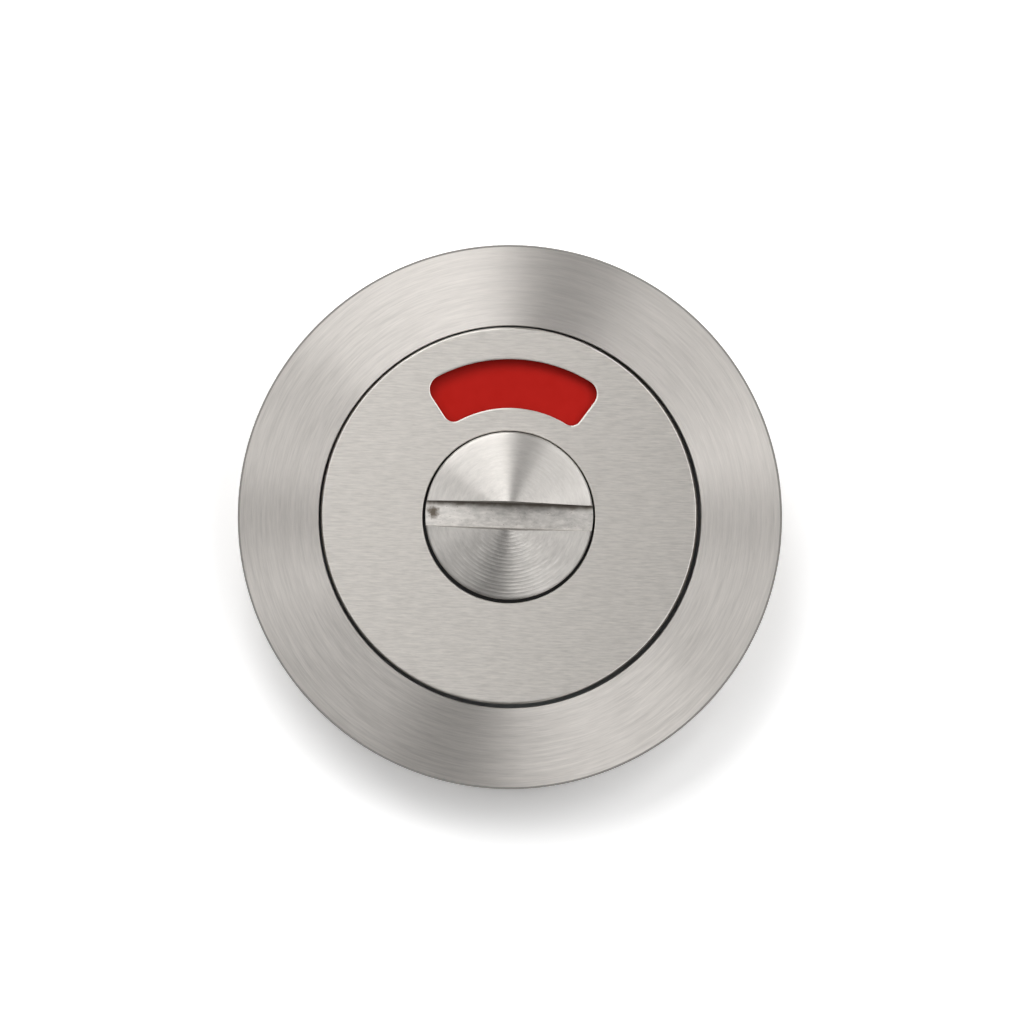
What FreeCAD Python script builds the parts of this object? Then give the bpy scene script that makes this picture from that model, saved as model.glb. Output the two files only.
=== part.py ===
import FreeCAD
import Part
import math
import os
import Sketcher
from FreeCAD import Vector

# Outside half of a bathroom lock: a round rose with a coin release and a red and green indicator.
# Millimetres and degrees. The back lies on z = 0, the release turns about +Z, and +Y is up on the door.

# Driving dimensions. Radii grow outwards from the release, heights grow upwards from the door.
SIZES = {
    # Release: a turned head with a coin slot, a stem and a square socket
    "turn_radius": 8.0,
    "turn_proud": 1.5,
    "turn_edge": 0.35,
    "turn_fall": 0.9,
    "slot_width": 2.45,
    "slot_depth": 2.4,
    "slot_edge": 0.13,
    "slot_flare": 22.0,
    "slot_saw_radius": 30.0,
    "stem_radius": 5.0,
    "stem_recess": 0.5,
    "stem_tail": 0.55,
    "stem_chamfer": 0.3,
    "spindle_square": 5.0,
    "spindle_play": 0.2,
    "socket_depth": 5.5,
    "seat_step": 1.2,
    "key_step": 0.2,
    "key_play": 0.05,
    # Circlip at the foot of the stem
    "clip_groove": 0.2,
    "clip_play": 0.05,
    "clip_width": 1.7,
    "clip_thickness": 1.0,
    "clip_opening": 40.0,
    "lug_reach": 2.0,
    "lug_radius": 1.5,
    "lug_hole_radius": 0.65,
    "lug_room": 0.75,
    # Bush, wave washer and thrust washer
    "bush_play": 0.05,
    "bush_wall": 1.0,
    "bush_flange": 0.6,
    "bush_lip": 0.2,
    "bearing_length": 2.6,
    "press_play": 0.02,
    "wave_room": 0.4,
    "wave_width": 1.9,
    "wave_thickness": 0.25,
    "wave_space": 0.9,
    "wave_count": 3.0,
    "washer_room": 0.2,
    "washer_margin": 0.6,
    "washer_thickness": 0.3,
    "washer_play": 0.05,
    # Dial with its films and stop
    "dial_thickness": 1.0,
    "dial_margin": 0.44,
    "dial_room": 0.3,
    "film_thickness": 0.1,
    "film_margin": 0.5,
    "film_half_angle": 42.0,
    "sight_gap": 0.4,
    "stop_land": 2.1,
    "stop_radius": 0.8,
    "stop_play": 0.3,
    "stop_seat": 2.0,
    "stop_chamfer": 0.2,
    # Face cap and its window
    "turn_gap": 0.25,
    "hole_drop": 0.13,
    "window_land": 2.03,
    "window_height": 4.68,
    "window_half_angle": 35.0,
    "window_outer_corner": 1.4,
    "window_inner_corner": 1.0,
    "cap_sheet": 1.0,
    "cap_edge": 0.4,
    "cap_skirt_room": 0.4,
    # Fixing plate
    "housing_wall": 0.78,
    "plate_thickness": 3.0,
    "plate_rim": 0.9,
    "hub_wall": 1.3,
    "pocket_land": 0.8,
    "pocket_margin": 0.2,
    "pocket_depth": 1.6,
    "pocket_half_angle": 25.0,
    "pocket_corner": 0.6,
    "insert_collar": 2.6,
    "insert_collar_height": 2.5,
    "insert_body": 2.4,
    "insert_bore": 1.65,
    "fixing_room": 0.4,
    "screw_hole": 1.8,
    # Outer ring and the wire that holds it; the ring sits off centre by part of its play
    "ring_gap": 0.3,
    "ring_play": 0.3,
    "ring_skirt": 1.2,
    "ring_face": 1.5,
    "ring_edge": 0.4,
    "ring_fall": 0.25,
    "ring_bore_edge": 0.2,
    "ring_sit_right": 0.07,
    "ring_sit_down": 0.13,
    "wire_width": 0.8,
    "wire_thickness": 0.8,
    "wire_proud": 0.35,
    "wire_play": 0.2,
    "wire_groove_play": 0.05,
    "wire_sweep": 330.0,
}

# Places that follow from the driving dimensions, in the sheet's own formulas.
FITS = {
    # Heights, from the door upwards
    "clip_bottom": "Sizes.stem_recess + Sizes.stem_tail",
    "clip_top": "Fits.clip_bottom + Sizes.clip_thickness",
    "washer_bottom": "Fits.clip_top + Sizes.washer_play",
    "hub_floor": "Fits.washer_bottom + Sizes.washer_thickness",
    "hub_top": "Fits.hub_floor + Sizes.bearing_length",
    "bush_top": "Fits.hub_top + Sizes.bush_flange",
    "dial_bottom": "Fits.bush_top + Sizes.wave_space",
    "dial_top": "Fits.dial_bottom + Sizes.dial_thickness",
    "film_top": "Fits.dial_top + Sizes.film_thickness",
    "cap_under": "Fits.film_top + Sizes.sight_gap",
    "face": "Fits.cap_under + Sizes.cap_sheet",
    "turn_top": "Fits.face + Sizes.turn_proud",
    "cap_foot": "Sizes.plate_thickness + Sizes.cap_skirt_room",
    "ring_under": "Fits.face - Sizes.ring_face",
    "rim_top": "Fits.face - Sizes.ring_fall",
    "turn_rim": "Fits.turn_top - Sizes.turn_fall",
    "saw_centre": "Fits.turn_top - Sizes.slot_depth + Sizes.slot_saw_radius",
    "wire_bottom": "(Sizes.plate_thickness - Sizes.wire_thickness) / 2",
    "groove_low": "Fits.wire_bottom - Sizes.wire_groove_play",
    "groove_high": "Fits.wire_bottom + Sizes.wire_thickness + Sizes.wire_groove_play",
    # Radii round the stem
    "socket_half": "(Sizes.spindle_square + Sizes.spindle_play) / 2",
    "seat_radius": "Sizes.stem_radius + Sizes.seat_step",
    "key_flat": "Sizes.stem_radius + Sizes.key_step",
    "groove_radius": "Sizes.stem_radius - Sizes.clip_groove",
    "clip_inner": "Fits.groove_radius + Sizes.clip_play",
    "clip_outer": "Fits.clip_inner + Sizes.clip_width",
    "lug_centre": "Fits.clip_inner + Sizes.lug_reach",
    "counterbore": "Fits.lug_centre + Sizes.lug_radius + Sizes.lug_room",
    "hub_radius": "Fits.counterbore + Sizes.hub_wall",
    "bush_inner": "Sizes.stem_radius + Sizes.bush_play",
    "bush_outer": "Fits.bush_inner + Sizes.bush_wall",
    "wave_inner": "Sizes.stem_radius + Sizes.wave_room",
    "wave_outer": "Fits.wave_inner + Sizes.wave_width",
    "washer_inner": "Sizes.stem_radius + Sizes.washer_room",
    "washer_outer": "Fits.counterbore - Sizes.washer_margin",
    "bush_rim": "Fits.wave_outer + Sizes.bush_lip",
    "stop_circle": "Fits.hub_radius + Sizes.stop_land",
    "stop_half": "Sizes.stop_radius + Sizes.stop_play",
    "stop_foot": "Sizes.plate_thickness - Sizes.stop_seat",
    # Radii of the face, from the release to the rim
    "cap_hole": "Sizes.turn_radius + Sizes.turn_gap",
    "window_inner": "Fits.cap_hole + Sizes.window_land",
    "window_outer": "Fits.window_inner + Sizes.window_height",
    "film_inner": "Fits.window_inner - Sizes.film_margin",
    "film_outer": "Fits.window_outer + Sizes.film_margin",
    "dial_radius": "Fits.film_outer + Sizes.dial_margin",
    "housing_inner": "Fits.dial_radius + Sizes.dial_room",
    "housing_outer": "Fits.housing_inner + Sizes.housing_wall",
    "cap_inner": "Fits.housing_outer + Sizes.press_play",
    "cap_radius": "Fits.cap_inner + Sizes.cap_sheet",
    "fixing_circle": "Fits.cap_radius + Sizes.fixing_room + Sizes.insert_collar",
    "plate_radius": "Fits.fixing_circle + Sizes.insert_collar + Sizes.plate_rim",
    "skirt_inner": "Fits.plate_radius + Sizes.ring_play",
    "rose_radius": "Fits.skirt_inner + Sizes.ring_skirt",
    "ring_bore": "Fits.cap_radius + Sizes.ring_gap",
    "wire_outer": "Fits.plate_radius + Sizes.wire_proud",
    "wire_inner": "Fits.wire_outer - Sizes.wire_width",
    "wire_groove_in": "Fits.wire_inner - Sizes.wire_groove_play",
    "wire_groove_out": "Fits.wire_outer + Sizes.wire_play",
    "pocket_inner": "Fits.hub_radius + Sizes.pocket_land",
    "pocket_outer": "Fits.cap_radius - Sizes.pocket_margin",
}

doc = FreeCAD.newDocument("coin_release_rose")


def add_sheet(name, rows):
    """A spreadsheet with one aliased cell for each row."""
    sheet = doc.addObject("Spreadsheet::Sheet", name)
    for row, (alias, content) in enumerate(rows.items(), start=1):
        sheet.set("A%d" % row, alias)
        sheet.set("B%d" % row, str(content))
        sheet.setAlias("B%d" % row, alias)
    doc.recompute()
    return sheet


sizes = add_sheet("Sizes", SIZES)
fits = add_sheet("Fits", {alias: "=" + formula.replace("Fits.", "") for alias, formula in FITS.items()})


def number(expression):
    """The present value of an expression over the two sheets."""
    return float(sizes.evalExpression(expression))


# Sketch and feature helpers

def add_body(label):
    body = doc.addObject("PartDesign::Body", label)
    body.Label = label
    return body


def add_sketch(body, name, role="XY_Plane", height=None):
    """A sketch on one of the body's own planes, lifted along its normal by an expression."""
    sketch = body.newObject("Sketcher::SketchObject", name)
    plane = next(feature for feature in body.Origin.OriginFeatures if feature.Role == role)
    sketch.AttachmentSupport = [(plane, "")]
    sketch.MapMode = "FlatFace"
    if height:
        sketch.setExpression("AttachmentOffset.Base.z", height)
    return sketch


def hold(sketch, constraint, expression):
    index = sketch.addConstraint(constraint)
    sketch.setExpression("Constraints[%d]" % index, expression)


def join(sketch, *pairs):
    for first, first_end, second, second_end in pairs:
        sketch.addConstraint(Sketcher.Constraint("Coincident", first, first_end, second, second_end))


def pin_point(sketch, curve, end, across, up):
    """Tie a point to two expressions; a leading minus puts it left of, or below, the origin."""
    for kind, axis, expression in (("DistanceX", -2, across), ("DistanceY", -1, up)):
        if expression == "0":
            sketch.addConstraint(Sketcher.Constraint("PointOnObject", curve, end, axis))
        elif expression.startswith("-"):
            size = expression[1:]
            hold(sketch, Sketcher.Constraint(kind, curve, end, -1, 1, number(size)), size)
        else:
            hold(sketch, Sketcher.Constraint(kind, -1, 1, curve, end, number(expression)), expression)


def draw_outline(sketch, corners):
    """A closed outline of straight lines whose corners are expressions."""
    points = [Vector(number(across), number(up), 0) for across, up in corners]
    count = len(points)
    for index in range(count):
        sketch.addGeometry(Part.LineSegment(points[index], points[(index + 1) % count]))
    for index, corner in enumerate(corners):
        join(sketch, (index, 2, (index + 1) % count, 1))
        pin_point(sketch, index, 1, *corner)


def draw_circle(sketch, radius, across="0", up="0"):
    centre = Vector(number(across), number(up), 0)
    curve = sketch.addGeometry(Part.Circle(centre, Vector(0, 0, 1), number(radius)))
    hold(sketch, Sketcher.Constraint("Radius", curve, number(radius)), radius)
    pin_point(sketch, curve, 3, across, up)


def add_arc(sketch, centre, radius, start, stop):
    circle = Part.Circle(centre, Vector(0, 0, 1), radius)
    return sketch.addGeometry(Part.ArcOfCircle(circle, math.radians(start), math.radians(stop)))


def draw_sector(sketch, inner, outer, half_angle):
    """An annular sector about the sketch's upward axis, with radial ends."""
    half = number(half_angle)
    far = add_arc(sketch, Vector(), number(outer), 90 - half, 90 + half)
    near = add_arc(sketch, Vector(), number(inner), 90 - half, 90 + half)
    arcs = [sketch.Geometry[far], sketch.Geometry[near]]
    right = sketch.addGeometry(Part.LineSegment(arcs[1].StartPoint, arcs[0].StartPoint))
    left = sketch.addGeometry(Part.LineSegment(arcs[1].EndPoint, arcs[0].EndPoint))
    join(sketch, (far, 3, -1, 1), (near, 3, -1, 1))
    join(sketch, (right, 1, near, 1), (right, 2, far, 1), (left, 1, near, 2), (left, 2, far, 2))
    for line in (right, left):
        sketch.addConstraint(Sketcher.Constraint("PointOnObject", -1, 1, line))
    hold(sketch, Sketcher.Constraint("Radius", far, number(outer)), outer)
    hold(sketch, Sketcher.Constraint("Radius", near, number(inner)), inner)
    reach = "%s * sin(%s * 1 deg)" % (outer, half_angle)
    hold(sketch, Sketcher.Constraint("DistanceX", -1, 1, far, 1, number(reach)), reach)
    hold(sketch, Sketcher.Constraint("DistanceX", far, 2, -1, 1, number(reach)), reach)


def draw_double_d(sketch, radius, flat):
    """A circle with two flats, left and right."""
    corner = math.degrees(math.acos(number(flat) / number(radius)))
    top = add_arc(sketch, Vector(), number(radius), corner, 180 - corner)
    bottom = add_arc(sketch, Vector(), number(radius), 180 + corner, 360 - corner)
    arcs = [sketch.Geometry[top], sketch.Geometry[bottom]]
    right = sketch.addGeometry(Part.LineSegment(arcs[1].EndPoint, arcs[0].StartPoint))
    left = sketch.addGeometry(Part.LineSegment(arcs[0].EndPoint, arcs[1].StartPoint))
    join(sketch, (top, 3, -1, 1), (bottom, 3, -1, 1))
    join(sketch, (right, 1, bottom, 2), (right, 2, top, 1), (left, 1, top, 2), (left, 2, bottom, 1))
    for line in (right, left):
        sketch.addConstraint(Sketcher.Constraint("Vertical", line))
    sketch.addConstraint(Sketcher.Constraint("Equal", top, bottom))
    hold(sketch, Sketcher.Constraint("Radius", top, number(radius)), radius)
    hold(sketch, Sketcher.Constraint("DistanceX", -1, 1, right, 1, number(flat)), flat)
    hold(sketch, Sketcher.Constraint("DistanceX", left, 1, -1, 1, number(flat)), flat)


def draw_quarter_slot(sketch, circle, half_width):
    """A curved slot from the left of the origin round to below it, with round ends."""
    middle = number(circle)
    half = number(half_width)
    far = add_arc(sketch, Vector(), middle + half, 180, 270)
    near = add_arc(sketch, Vector(), middle - half, 180, 270)
    left_end = add_arc(sketch, Vector(-middle, 0, 0), half, 0, 180)
    lower_end = add_arc(sketch, Vector(0, -middle, 0), half, -90, 90)
    join(sketch, (far, 3, -1, 1), (near, 3, -1, 1))
    join(sketch, (far, 1, left_end, 2), (near, 1, left_end, 1), (far, 2, lower_end, 1), (near, 2, lower_end, 2))
    for curve, end, axis in (
        (far, 1, -1), (near, 1, -1), (left_end, 3, -1), (far, 2, -2), (near, 2, -2), (lower_end, 3, -2)
    ):
        sketch.addConstraint(Sketcher.Constraint("PointOnObject", curve, end, axis))
    outer = "%s + %s" % (circle, half_width)
    inner = "%s - %s" % (circle, half_width)
    hold(sketch, Sketcher.Constraint("Radius", far, middle + half), outer)
    hold(sketch, Sketcher.Constraint("Radius", near, middle - half), inner)


def turn_profile(label, corners):
    """A turned body: an outline in radius and height, revolved about Z."""
    body = add_body(label)
    sketch = add_sketch(body, label + "_profile", "XZ_Plane")
    draw_outline(sketch, corners)
    turning = body.newObject("PartDesign::Revolution", label + "_turning")
    turning.Profile = sketch
    turning.ReferenceAxis = (sketch, ["V_Axis"])
    turning.Angle = 360
    doc.recompute()
    return body


def pad(body, sketch, length):
    feature = body.newObject("PartDesign::Pad", sketch.Name + "_pad")
    feature.Profile = sketch
    feature.setExpression("Length", length)
    doc.recompute()
    return feature


def cut(body, sketch, length, upward=False, both_sides=False, repeats=1):
    """A pocket below the sketch, above it or to both sides, repeated round the body's axis."""
    before = body.Shape.Volume
    pocket = body.newObject("PartDesign::Pocket", sketch.Name + "_cut")
    pocket.Profile = sketch
    pocket.setExpression("Length", length)
    pocket.Reversed = upward
    if both_sides:
        pocket.SideType = "Symmetric"
    doc.recompute()
    if repeats > 1:
        pattern = body.newObject("PartDesign::PolarPattern", sketch.Name + "_pattern")
        pattern.Originals = [pocket]
        pattern.Axis = (sketch, ["N_Axis"])
        pattern.Angle = 360
        pattern.Occurrences = repeats
        body.Tip = pattern
        doc.recompute()
    if body.Shape.Volume > before - 1e-6:
        raise RuntimeError("no material removed by " + sketch.Name)


def dress_edges(body, kind, size, matches):
    """A fillet or chamfer on the edges that a test picks out."""
    base = body.Tip
    names = ["Edge%d" % index for index, edge in enumerate(base.Shape.Edges, start=1) if matches(edge)]
    if not names:
        raise RuntimeError("no edge found for %s on %s" % (kind, body.Label))
    feature = body.newObject("PartDesign::" + kind, body.Label + "_" + kind.lower())
    feature.Base = (base, names)
    feature.setExpression("Radius" if kind == "Fillet" else "Size", size)
    body.Tip = feature
    doc.recompute()


def circle_at(radius, height):
    """Test for a full or part circle of that radius, about Z, at that height."""
    def matches(edge):
        curve = edge.Curve
        if not isinstance(curve, Part.Circle):
            return False
        on_axis = math.hypot(curve.Center.x, curve.Center.y) < 1e-4
        same_radius = abs(curve.Radius - number(radius)) < 1e-4
        return on_axis and same_radius and abs(curve.Center.z - number(height)) < 1e-4
    return matches


def upright_at(radius):
    """Test for a straight edge along Z at that distance from the axis."""
    def matches(edge):
        start, stop = (edge.Vertexes[0].Point, edge.Vertexes[-1].Point)
        upright = abs(start.z - stop.z) > 1e-3 and math.hypot(start.x - stop.x, start.y - stop.y) < 1e-4
        return upright and abs(math.hypot(start.x, start.y) - number(radius)) < 1e-4
    return matches


def add_cylinder(name, radius, height, bottom, across="0", up="0"):
    cylinder = doc.addObject("Part::Cylinder", name)
    cylinder.setExpression("Radius", radius)
    cylinder.setExpression("Height", height)
    cylinder.setExpression("Placement.Base.x", across)
    cylinder.setExpression("Placement.Base.y", up)
    cylinder.setExpression("Placement.Base.z", bottom)
    return cylinder


def subtract(name, base, tool):
    difference = doc.addObject("Part::Cut", name)
    difference.Base = base
    difference.Tool = tool
    difference.Label = name
    return difference


def fuse(name, shapes):
    union = doc.addObject("Part::MultiFuse", name)
    union.Shapes = shapes
    return union


# Pieces

def make_rose_ring():
    """Turned ring, its face falling a little outwards, with a wire groove, sitting off centre by its play."""
    ring = turn_profile("rose_ring", [
        ("Fits.ring_bore", "Fits.ring_under"),
        ("Fits.ring_bore", "Fits.face"),
        ("Fits.rose_radius", "Fits.rim_top"),
        ("Fits.rose_radius", "0"),
        ("Fits.skirt_inner", "0"),
        ("Fits.skirt_inner", "Fits.groove_low"),
        ("Fits.wire_groove_out", "Fits.groove_low"),
        ("Fits.wire_groove_out", "Fits.groove_high"),
        ("Fits.skirt_inner", "Fits.groove_high"),
        ("Fits.skirt_inner", "Fits.ring_under"),
    ])
    dress_edges(ring, "Fillet", "Sizes.ring_edge", circle_at("Fits.rose_radius", "Fits.rim_top"))
    dress_edges(ring, "Chamfer", "Sizes.ring_bore_edge", circle_at("Fits.ring_bore", "Fits.face"))
    ring.setExpression("Placement.Base.x", "Sizes.ring_sit_right")
    ring.setExpression("Placement.Base.y", "-Sizes.ring_sit_down")
    return ring


def make_face_cap():
    """Drawn cap with a rounded edge, the indicator window and the release's hole, punched a little low."""
    cap = turn_profile("face_cap", [
        ("0", "Fits.cap_under"),
        ("0", "Fits.face"),
        ("Fits.cap_radius", "Fits.face"),
        ("Fits.cap_radius", "Fits.cap_foot"),
        ("Fits.cap_inner", "Fits.cap_foot"),
        ("Fits.cap_inner", "Fits.cap_under"),
    ])
    dress_edges(cap, "Fillet", "Sizes.cap_edge", circle_at("Fits.cap_radius", "Fits.face"))
    hole = add_sketch(cap, "release_hole", height="Fits.face")
    draw_circle(hole, "Fits.cap_hole", up="-Sizes.hole_drop")
    cut(cap, hole, "Sizes.cap_sheet")
    window = add_sketch(cap, "window", height="Fits.face")
    draw_sector(window, "Fits.window_inner", "Fits.window_outer", "Sizes.window_half_angle")
    cut(cap, window, "Sizes.cap_sheet")
    dress_edges(cap, "Fillet", "Sizes.window_outer_corner", upright_at("Fits.window_outer"))
    dress_edges(cap, "Fillet", "Sizes.window_inner_corner", upright_at("Fits.window_inner"))
    return cap


def make_coin_turn():
    """Release: head with a saw-cut coin slot, keyed seat for the dial, grooved stem and square socket."""
    turn = turn_profile("coin_turn", [
        ("0", "Sizes.stem_recess"),
        ("(Sizes.stem_radius - Sizes.stem_chamfer)", "Sizes.stem_recess"),
        ("Sizes.stem_radius", "(Sizes.stem_recess + Sizes.stem_chamfer)"),
        ("Sizes.stem_radius", "(Fits.clip_bottom - Sizes.press_play)"),
        ("Fits.groove_radius", "(Fits.clip_bottom - Sizes.press_play)"),
        ("Fits.groove_radius", "(Fits.clip_top + Sizes.press_play)"),
        ("Sizes.stem_radius", "(Fits.clip_top + Sizes.press_play)"),
        ("Sizes.stem_radius", "Fits.dial_top"),
        ("Sizes.turn_radius", "Fits.dial_top"),
        ("Sizes.turn_radius", "(Fits.turn_rim - Sizes.turn_edge)"),
        ("(Sizes.turn_radius - Sizes.turn_edge)", "Fits.turn_rim"),
        ("0", "Fits.turn_top"),
    ])
    seat = add_sketch(turn, "dial_seat", height="Fits.dial_bottom")
    draw_double_d(seat, "Fits.seat_radius", "Fits.key_flat")
    pad(turn, seat, "Sizes.dial_thickness")
    slot = add_sketch(turn, "coin_slot", "XZ_Plane")
    draw_circle(slot, "Sizes.slot_saw_radius", up="Fits.saw_centre")
    cut(turn, slot, "Sizes.slot_width", both_sides=True)
    flare = add_sketch(turn, "slot_flare", "YZ_Plane")
    wall = "(Sizes.slot_width / 2)"
    rise = "(Sizes.slot_edge + Sizes.turn_fall)"
    lip = "(Sizes.slot_width / 2 + %s * tan(Sizes.slot_flare * 1 deg))" % rise
    foot = "(Fits.turn_rim - Sizes.slot_edge)"
    draw_outline(flare, [
        ("-" + wall, foot), (wall, foot), (lip, "Fits.turn_top"), ("-" + lip, "Fits.turn_top")
    ])
    cut(turn, flare, "2 * Sizes.turn_radius", both_sides=True)
    socket = add_sketch(turn, "spindle_socket", height="Sizes.stem_recess")
    half = "Fits.socket_half"
    draw_outline(socket, [("-" + half, "-" + half), (half, "-" + half), (half, half), ("-" + half, half)])
    cut(turn, socket, "Sizes.socket_depth", upward=True)
    return turn


def make_indicator_dial():
    """Dial with a keyed hole for the release and a curved slot for the stop pin."""
    dial = add_body("indicator_dial")
    disc = add_sketch(dial, "dial_disc", height="Fits.dial_bottom")
    draw_circle(disc, "Fits.dial_radius")
    pad(dial, disc, "Sizes.dial_thickness")
    key = add_sketch(dial, "dial_key", height="Fits.dial_top")
    draw_double_d(key, "(Fits.seat_radius + Sizes.key_play)", "(Fits.key_flat + Sizes.key_play)")
    cut(dial, key, "Sizes.dial_thickness")
    stop = add_sketch(dial, "stop_slot", height="Fits.dial_top")
    draw_quarter_slot(stop, "Fits.stop_circle", "Fits.stop_half")
    cut(dial, stop, "Sizes.dial_thickness")
    return dial


def make_film(label, turned_to):
    """Coloured film on the dial, a quarter turn from the other one."""
    film = add_body(label)
    sketch = add_sketch(film, label + "_outline", height="Fits.dial_top")
    draw_sector(sketch, "Fits.film_inner", "Fits.film_outer", "Sizes.film_half_angle")
    pad(film, sketch, "Sizes.film_thickness")
    film.Placement = FreeCAD.Placement(Vector(), FreeCAD.Rotation(Vector(0, 0, 1), turned_to))
    return film


def make_base_plate():
    """Cast plate: hub, dial chamber, wire groove, back pockets between ribs, and the fixing holes."""
    bore = "(Fits.bush_outer + Sizes.press_play)"
    plate = turn_profile("base_plate", [
        (bore, "Fits.hub_floor"),
        (bore, "Fits.hub_top"),
        ("Fits.hub_radius", "Fits.hub_top"),
        ("Fits.hub_radius", "Sizes.plate_thickness"),
        ("Fits.housing_inner", "Sizes.plate_thickness"),
        ("Fits.housing_inner", "Fits.cap_under"),
        ("Fits.housing_outer", "Fits.cap_under"),
        ("Fits.housing_outer", "Sizes.plate_thickness"),
        ("Fits.plate_radius", "Sizes.plate_thickness"),
        ("Fits.plate_radius", "Fits.groove_high"),
        ("Fits.wire_groove_in", "Fits.groove_high"),
        ("Fits.wire_groove_in", "Fits.groove_low"),
        ("Fits.plate_radius", "Fits.groove_low"),
        ("Fits.plate_radius", "0"),
        ("Fits.counterbore", "0"),
        ("Fits.counterbore", "Fits.hub_floor"),
    ])
    pocket = add_sketch(plate, "back_pocket")
    draw_sector(pocket, "Fits.pocket_inner", "Fits.pocket_outer", "Sizes.pocket_half_angle")
    pocket.AttachmentOffset.Rotation = FreeCAD.Rotation(Vector(0, 0, 1), 30)
    cut(plate, pocket, "Sizes.pocket_depth", upward=True, repeats=6)
    dress_edges(plate, "Fillet", "Sizes.pocket_corner", upright_at("Fits.pocket_outer"))
    dress_edges(plate, "Fillet", "Sizes.pocket_corner", upright_at("Fits.pocket_inner"))
    insert_hole = add_sketch(plate, "insert_hole", height="Sizes.plate_thickness")
    draw_circle(insert_hole, "(Sizes.insert_body + Sizes.press_play)", across="Fits.fixing_circle")
    cut(plate, insert_hole, "Sizes.plate_thickness", repeats=2)
    screw_hole = add_sketch(plate, "screw_hole", height="Sizes.plate_thickness")
    draw_circle(screw_hole, "Sizes.screw_hole", up="Fits.fixing_circle")
    cut(plate, screw_hole, "Sizes.plate_thickness", repeats=2)
    pin_hole = add_sketch(plate, "pin_hole", height="Sizes.plate_thickness")
    draw_circle(pin_hole, "(Sizes.stop_radius + Sizes.press_play)", up="-Fits.stop_circle")
    cut(plate, pin_hole, "Sizes.stop_seat")
    return plate


def make_bush():
    """Flanged bearing bush in the hub."""
    return turn_profile("bush", [
        ("Fits.bush_inner", "Fits.hub_floor"),
        ("Fits.bush_inner", "Fits.bush_top"),
        ("Fits.bush_rim", "Fits.bush_top"),
        ("Fits.bush_rim", "Fits.hub_top"),
        ("Fits.bush_outer", "Fits.hub_top"),
        ("Fits.bush_outer", "Fits.hub_floor"),
    ])


def make_wave_washer():
    """Spring washer whose wave fills the space between the bush and the dial; no primitive has this form."""
    thickness = number("Sizes.wave_thickness")
    bottom = number("Fits.bush_top + Sizes.press_play")
    rise = number("Sizes.wave_space - 2 * Sizes.press_play - Sizes.wave_thickness") / 2
    waves = round(number("Sizes.wave_count"))
    edges = []
    for radius in (number("Fits.wave_inner"), number("Fits.wave_outer")):
        points = []
        for step in range(12 * waves):
            angle = 2 * math.pi * step / (12 * waves)
            height = bottom + rise * (1 + math.cos(waves * angle))
            points.append(Vector(radius * math.cos(angle), radius * math.sin(angle), height))
        curve = Part.BSplineCurve()
        curve.interpolate(points, PeriodicFlag=True)
        edges.append(curve.toShape())
    washer = doc.addObject("Part::Feature", "wave_washer")
    washer.Label = "wave_washer"
    washer.Shape = Part.makeRuledSurface(edges[0], edges[1]).extrude(Vector(0, 0, thickness))
    return washer


def make_thrust_washer():
    """Plain washer between the hub and the circlip."""
    height = ("Sizes.washer_thickness", "Fits.washer_bottom")
    disc = add_cylinder("washer_disc", "Fits.washer_outer", *height)
    hole = add_cylinder("washer_hole", "Fits.washer_inner", *height)
    return subtract("thrust_washer", disc, hole)


def make_circlip():
    """Sprung clip in the stem's groove, open downwards, with a holed lug at each end."""
    height = ("Sizes.clip_thickness", "Fits.clip_bottom")
    arc = add_cylinder("clip_arc", "Fits.clip_outer", *height)
    arc.setExpression("Angle", "360 - Sizes.clip_opening")
    arc.setExpression("Placement.Rotation.Angle", "Sizes.clip_opening / 2 - 90")
    bore = add_cylinder("clip_bore", "Fits.clip_inner", *height)
    lugs = []
    holes = []
    for side, sign in (("left", "-"), ("right", "")):
        swing = "(Sizes.clip_opening / 2 + 8) * 1 deg"
        place = (sign + "Fits.lug_centre * sin(%s)" % swing, "-Fits.lug_centre * cos(%s)" % swing)
        lugs.append(add_cylinder("lug_" + side, "Sizes.lug_radius", *height, *place))
        holes.append(add_cylinder("lug_hole_" + side, "Sizes.lug_hole_radius", *height, *place))
    solid = fuse("clip_solid", [subtract("clip_band", arc, bore)] + lugs)
    return subtract("circlip", solid, fuse("lug_holes", holes))


def make_snap_ring():
    """Sprung flat wire in the plate's rim groove, split at the upper right."""
    height = ("Sizes.wire_thickness", "Fits.wire_bottom")
    band = add_cylinder("wire_band", "Fits.wire_outer", *height)
    band.setExpression("Angle", "Sizes.wire_sweep")
    band.setExpression("Placement.Rotation.Angle", "45 + (360 - Sizes.wire_sweep) / 2")
    return subtract("snap_ring", band, add_cylinder("wire_bore", "Fits.wire_inner", *height))


def make_stop_pin():
    """Dowel in the plate that ends the turn in the dial's curved slot."""
    pin = turn_profile("stop_pin", [
        ("0", "Fits.stop_foot"),
        ("Sizes.stop_radius", "Fits.stop_foot"),
        ("Sizes.stop_radius", "(Fits.dial_top - Sizes.stop_chamfer)"),
        ("(Sizes.stop_radius - Sizes.stop_chamfer)", "Fits.dial_top"),
        ("0", "Fits.dial_top"),
    ])
    pin.setExpression("Placement.Base.y", "-Fits.stop_circle")
    return pin


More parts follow.
